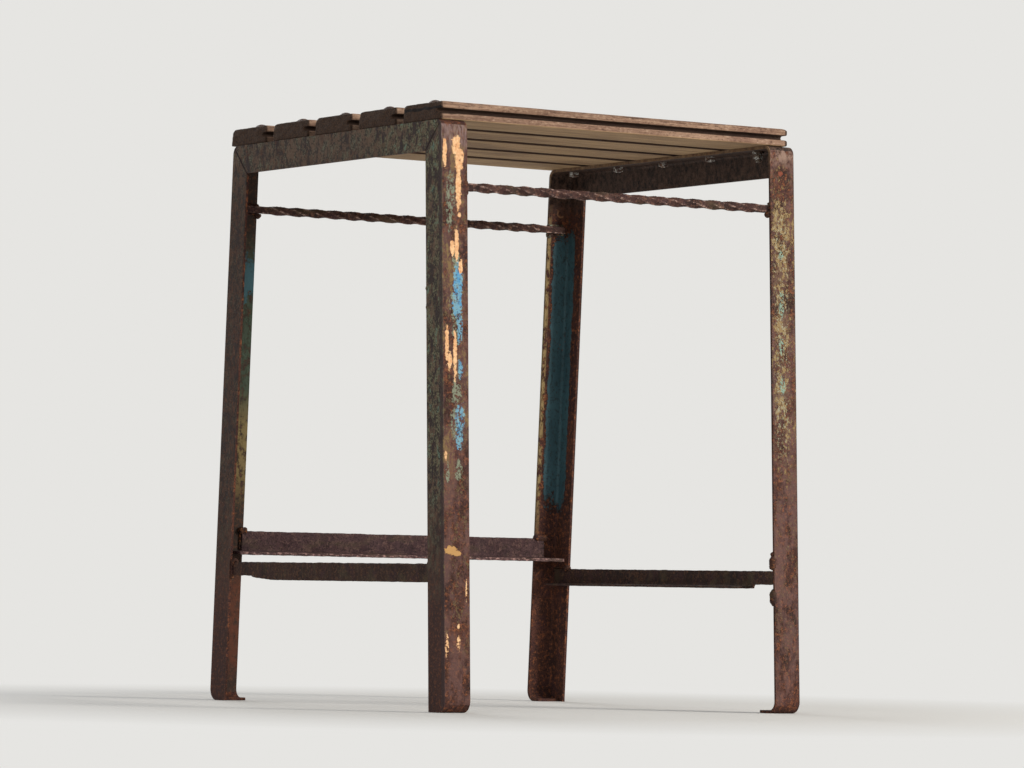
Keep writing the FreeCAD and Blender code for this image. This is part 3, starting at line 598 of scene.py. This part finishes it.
# Seat boards: five softwood floor boards with a groove along the front edge, cut to length
# and laid across the rails. They are bare, grey-brown and dirty, with raised grain, worn
# arrises and dark end grain.
SLAT_LOW, SLAT_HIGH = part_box("slat_1")
SLAT_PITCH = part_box("slat_2")[0].y - SLAT_LOW.y
LOWER_LIP = 0.007
GROOVE_WIDTH = 0.0045
GROOVE_LOW = SLAT_LOW.z + LOWER_LIP
GROOVE_HIGH = GROOVE_LOW + GROOVE_WIDTH

# How far in from its ends and its back edge a board is worn, and the share of its height,
# from below, that no wear reaches
WORN_ENDS, WORN_BACK = 0.007, 0.007
UNWORN_SHARE = 0.3

# What wear takes off: the length at each end, and the height over all, in dips, at the ends
# and at the back edge
LEFT_END_LOSS, RIGHT_END_LOSS = 0.0008, 0.0002
TOP_LOSS, DIP_LOSS, END_LOSS, BACK_LOSS = 0.0002, 0.0003, 0.0012, 0.0025
RAISED_GRAIN = 0.00018
WOOD_RELIEF = 0.0007

# How far apart the noise of two boards is, so that no two are worn alike, and how many there
# are to a metre, along and across, of each kind of wear
SEED_STEP = 1.7
RIDGES = (9, 260)
WAVES = (14, 8)
DIPS = (30, 75)
TEARS = (110, 160)

# The tints of the wood and of its painted shade, and how far ahead of a board's front edge its pattern
# begins
AHEAD = 0.005
WOOD_TINTS = {
    "dark grain": shade(114, 86, 68), "pale grain": shade(166, 134, 110),
    "clean": shade(186, 152, 126), "dirt": shade(112, 80, 66), "dark fibre": shade(84, 60, 50),
    "bright nick": shade(198, 172, 148), "dark nick": shade(70, 49, 39),
    "dark underside": shade(118, 92, 66), "pale underside": shade(182, 150, 112),
    "dirty underside": shade(112, 86, 64), "dark top": shade(78, 56, 46),
    "pale top": shade(124, 94, 78), "painted_shade": shade(32, 20, 15), "thin soot": shade(60, 40, 31),
    "dark end": shade(36, 25, 19), "pale end": shade(84, 61, 46), "split": shade(20, 12, 10),
    "crack": shade(42, 28, 22),
}


def worn_round(place, low, high):
    """How far right a point may lie, where the right end of each lip is worn to a half round."""
    upper_lip = place.z > GROOVE_HIGH - 0.0005
    lip_low, lip_high = (GROOVE_HIGH, high.z) if upper_lip else (low.z, GROOVE_LOW)
    radius = (lip_high - lip_low) / 2
    from_middle = min(abs(place.z - lip_low - radius), radius)
    return high.x - radius + math.sqrt(radius ** 2 - from_middle ** 2)


def weather(board, seed):
    """Raises the grain along the board, wears its top uneven and rounds off its ends."""
    low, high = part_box(board.name.removesuffix("_worn"))
    normals = [vertex.normal.copy() for vertex in board.data.vertices]
    for vertex, normal in zip(board.data.vertices, normals):
        place = vertex.co.copy()
        upper = max(0, (place.z - low.z) / (high.z - low.z) - UNWORN_SHARE)
        along = Vector((place.x * RIDGES[0], place.y * RIDGES[1], place.z * RIDGES[1] + seed))
        ridge = noise.fractal(along, 0.9, 2.0, 3)
        vertex.co -= normal * RAISED_GRAIN * (1 + ridge)
        from_end = min(place.x - low.x, high.x - place.x)
        worn_end = max(0, 1 - from_end / WORN_ENDS) ** 2
        ragged = noise.noise(Vector((seed, place.y * TEARS[0], place.z * TEARS[1])))
        inward = LEFT_END_LOSS if place.x < 0 else -RIGHT_END_LOSS
        vertex.co.x += inward * worn_end * (1 + ragged + 2 * upper)
        wave = noise.noise(Vector((place.x * WAVES[0], place.y * WAVES[1], seed * 7)))
        dips = noise.noise(Vector((place.x * DIPS[0], place.y * DIPS[1], seed)))
        worn_back = max(0, 1 - (high.y - place.y) / WORN_BACK) ** 2
        vertex.co.z -= (TOP_LOSS * (1 + wave) + DIP_LOSS * (1 + dips)) * upper
        vertex.co.z -= worn_end * END_LOSS * upper
        vertex.co.z -= worn_back * BACK_LOSS * upper
        vertex.co.x = min(vertex.co.x, worn_round(place, low, high))
    board.data.update()


def wood_finish():
    """Bare softwood: clean on the worn faces, with painted shade in the groove and gaps, and dark ends.
    """
    finish = Finish("weathered_wood")
    tints = WOOD_TINTS
    grain = finish.speckle(0.0020, 31, (60, 1, 1), 6, 0.6)
    broad = finish.speckle(0.02, 32, (9, 1, 1), 5, 0.55)
    dirt = finish.speckle(0.05, 33, (2.5, 1, 1), 6, 0.65)
    fibres = finish.speckle(0.0016, 35, (8, 1, 1), 6, 0.7)
    nicks = finish.speckle(0.0022, 37, (2.5, 1, 1), 6, 0.75)
    cracks = finish.mask(finish.speckle(0.004, 34, (45, 1, 1), 3, 0.5), 0.33, 0.31)
    # How far a point is behind the front edge of its own board, from a little ahead of it
    behind = (finish.y - (SLAT_LOW.y - AHEAD)) % SLAT_PITCH - AHEAD
    # Rubbed faces: pink-brown grain with dirty patches, dark fibres and bright and dark nicks
    colour = finish.mix(finish.mask(grain, 0.36, 0.64), tints["dark grain"], tints["pale grain"])
    for mask, tint in (
            (finish.mask(broad, 0.42, 0.62) * 0.5, tints["clean"]),
            (finish.mask(dirt, 0.46, 0.64) * 0.7, tints["dirt"]),
            (finish.mask(fibres, 0.54, 0.64) * 0.55, tints["dark fibre"]),
            (finish.mask(nicks, 0.55, 0.64) * 0.55, tints["bright nick"]),
            (finish.mask(nicks, 0.45, 0.39) * 0.75, tints["dark nick"])):
        colour = finish.mix(mask, colour, tint)
    # Undersides, yellower and streaked
    below = finish.below(finish.z, SLAT_LOW.z + 0.0011, 0.0005)
    under = finish.mix(finish.mask(grain, 0.34, 0.62), tints["dark underside"], tints["pale underside"])
    under = finish.mix(finish.mask(dirt, 0.50, 0.66) * 0.6, under, tints["dirty underside"])
    colour = finish.mix(below, colour, under)
    # Tops, worn dark by weather and use
    top = finish.above(finish.z, SLAT_HIGH.z - 0.0016, 0.0006) * finish.mask(behind, 0.0024, 0.0044)
    worn_top = finish.mix(grain, tints["dark top"], tints["pale top"])
    colour = finish.mix(top * 0.75, colour, worn_top)
    # Painted shade in the groove, in the gaps between boards and on the front edges of those behind
    painted_shade = finish.mix(fibres, tints["painted_shade"], tints["thin soot"])
    groove = finish.within(finish.z, GROOVE_LOW - 0.0004, GROOVE_HIGH + 0.0004, 0.0003)
    groove = groove * finish.mask(behind, 0.0004, 0.0014) * finish.mask(behind, 0.0100, 0.0090)
    gap = finish.mask(behind, 0.0660, 0.0685)
    not_first = finish.mask(finish.y, SLAT_LOW.y + 0.02, SLAT_LOW.y + 0.03)
    past_rail = finish.mask(finish.x, SLAT_LOW.x + 0.022, SLAT_LOW.x + 0.040)
    edges = not_first * finish.mask(behind, 0.0020, 0.0010) * past_rail
    colour = finish.mix(finish.either(finish.either(groove, gap), edges) * 0.92, colour, painted_shade)
    # End grain: brown, fine and even, with a split in the front board's left end
    left_end = finish.below(finish.x, SLAT_LOW.x + 0.0039, 0.0009)
    right_end = finish.above(finish.x, SLAT_HIGH.x - 0.0036, 0.0008)
    end_grain = finish.mix(finish.mask(fibres, 0.38, 0.64), tints["dark end"], tints["pale end"])
    colour = finish.mix(finish.either(left_end, right_end), colour, end_grain)
    wander = (finish.speckle(0.012, 36, (1, 1, 1), 4, 0.6) - 0.5) * 0.006
    split = finish.mask(abs(finish.z + wander - GROOVE_HIGH - 0.0008), 0.0017, 0.0010)
    front_board = finish.mask(finish.y, SLAT_HIGH.y + 0.002, SLAT_HIGH.y)
    colour = finish.mix(split * front_board * left_end, colour, tints["split"])
    colour = finish.mix(cracks * 0.85, colour, tints["crack"])
    height = grain * 0.8 + broad * 0.4 + fibres * 0.3 - cracks
    return finish.done(colour, 0.84 - grain * 0.12, height, WOOD_RELIEF)


wood = wood_finish()
for count in range(1, 6):
    board = worn_copy(f"slat_{count}", grain=0.0014, rounds=2)
    weather(board, seed=count * SEED_STEP)
    cover(board, wood)

# Bolts, nuts and washers: domed coach bolts come down through board and rail, and a nut
# holds each one under the flange. Plain steel, rusted on top and greyer below, where the
# pale grey is also a painted highlight.


def below_seat(finish):
    """Everything under the rail's flange, which rain doesn't reach, and whose pale grey is also a
    painted highlight.
    """
    return finish.mask(finish.z, RAIL_HEIGHT, RAIL_HEIGHT - 0.002)


# Below the seat the pale grey is partly less rust and partly a painted highlight on the nuts
fastener_finish = bare_finish(
    "dull_fastener_steel", dark=(58, 42, 36), mid=(96, 76, 66), bright=(128, 96, 76),
    roughness=0.5, wear_and_highlight=below_seat, wear_and_highlight_tint=(216, 216, 210))
for name in sorted(node):
    if name.startswith(("bolt", "nut", "washer")):
        dress(name, fastener_finish)

# The place where the stool stands: a pale floor that fades into a pale backdrop, which the
# camera, gloss and glass see at its own colour, and soft light from all round.
FLOOR_RADIUS = 12
FADE_FROM, FADE_TO = 0.45, 0.95
FLOOR_TONE = shade(222, 220, 215)
FLOOR_ROUGHNESS, FLOOR_SHEEN = 0.8, 0.1
BACKDROP_TONE = shade(230, 229, 226)
SKY_TONE = shade(236, 238, 242)
SKY_STRENGTH = 0.42


def looked_at(nodes):
    """1 for the rays by which the camera, gloss or glass sees a thing, and 0 for the rest."""
    ray = nodes.node("ShaderNodeLightPath").socket.node.outputs
    kinds = ("Is Camera Ray", "Is Glossy Ray", "Is Transmission Ray")
    straight, glossy, through = [Value(nodes, ray[kind]) for kind in kinds]
    return nodes.either(nodes.either(straight, glossy), through)


bpy.ops.object.select_all(action="DESELECT")
bpy.ops.mesh.primitive_circle_add(vertices=96, radius=FLOOR_RADIUS, fill_type="NGON")
floor = bpy.context.active_object
floor.name = "floor"
ground = Finish("pale_floor")
ground.feed(ground.shader.inputs["Base Color"], FLOOR_TONE)
ground.feed(ground.shader.inputs["Roughness"], FLOOR_ROUGHNESS)
ground.feed(ground.shader.inputs["Specular IOR Level"], FLOOR_SHEEN)
away = (ground.x * ground.x + ground.y * ground.y) ** 0.5
far = ground.mask(away, FADE_FROM, FADE_TO) * looked_at(ground)
glow = ground.node("ShaderNodeEmission", None, {"Color": BACKDROP_TONE, "Strength": 1})
lit = Value(ground, ground.shader.outputs[0])
surface = ground.node("ShaderNodeMixShader", None, {0: far, 1: lit, 2: glow})
ground.feed(ground.tree.nodes["Material Output"].inputs["Surface"], surface)
cover(floor, ground.material)

sky = bpy.data.worlds.new("studio")
bpy.context.scene.world = sky
sky.use_nodes = True
around = Nodes(sky.node_tree)
soft = around.tree.nodes["Background"]
around.feed(soft.inputs["Color"], SKY_TONE)
around.feed(soft.inputs["Strength"], SKY_STRENGTH)
backdrop = around.node("ShaderNodeBackground", None, {"Color": BACKDROP_TONE})
halves = {0: looked_at(around), 1: Value(around, soft.outputs[0]), 2: backdrop}
chosen = around.node("ShaderNodeMixShader", None, halves)
around.feed(around.tree.nodes["World Output"].inputs["Surface"], chosen)

# Lamps: a warm key at the front right, a weak cool fill at the front left, and one behind.
# Each is square, faces the stool, and is given by its place, width, power and colour.
LAMPS = {
    "key_lamp": ((2.2, -2.6, 1.5), 1.0, 110, (1, 0.96, 0.9)),
    "fill_lamp": ((-2.6, -2.2, 1.2), 1.6, 14, (0.94, 0.97, 1)),
    "back_lamp": ((0.4, 3.2, 1.7), 1.6, 40, (0.96, 0.98, 1)),
}
LIT_POINT = Vector((0, 0, 0.3))
for name, (place, width, power, tint) in LAMPS.items():
    light = bpy.data.lights.new(name, "AREA")
    light.size = width
    light.energy = power
    light.color = tint
    holder = bpy.data.objects.new(name, light)
    bpy.context.scene.collection.objects.link(holder)
    holder.location = place
    holder.rotation_euler = (LIT_POINT - Vector(place)).to_track_quat("-Z", "Y").to_euler()

# Camera: a long lens, low down in front and to the left, just below the seat. Its angles
# are in radians: round the stool, up, and about its own axis.
CAMERA_PLACE = (-2.7516, -4.2321, 0.1194)
CAMERA_YAW, CAMERA_PITCH, CAMERA_ROLL = -0.5777, 0.0431, 0.0181
SENSOR_WIDTH, FOCAL_LENGTH = 36, 169.74
lens = bpy.data.cameras.new("camera")
lens.sensor_width = SENSOR_WIDTH
lens.lens = FOCAL_LENGTH
lens.clip_end = 100
camera = bpy.data.objects.new("camera", lens)
bpy.context.scene.collection.objects.link(camera)
turned = Matrix.Rotation(CAMERA_YAW, 4, "Z") @ Matrix.Rotation(math.pi / 2 + CAMERA_PITCH, 4, "X")
camera.matrix_world = Matrix.Translation(CAMERA_PLACE) @ turned @ Matrix.Rotation(CAMERA_ROLL, 4, "Z")
bpy.context.scene.camera = camera
bpy.context.scene.view_settings.view_transform = "Standard"
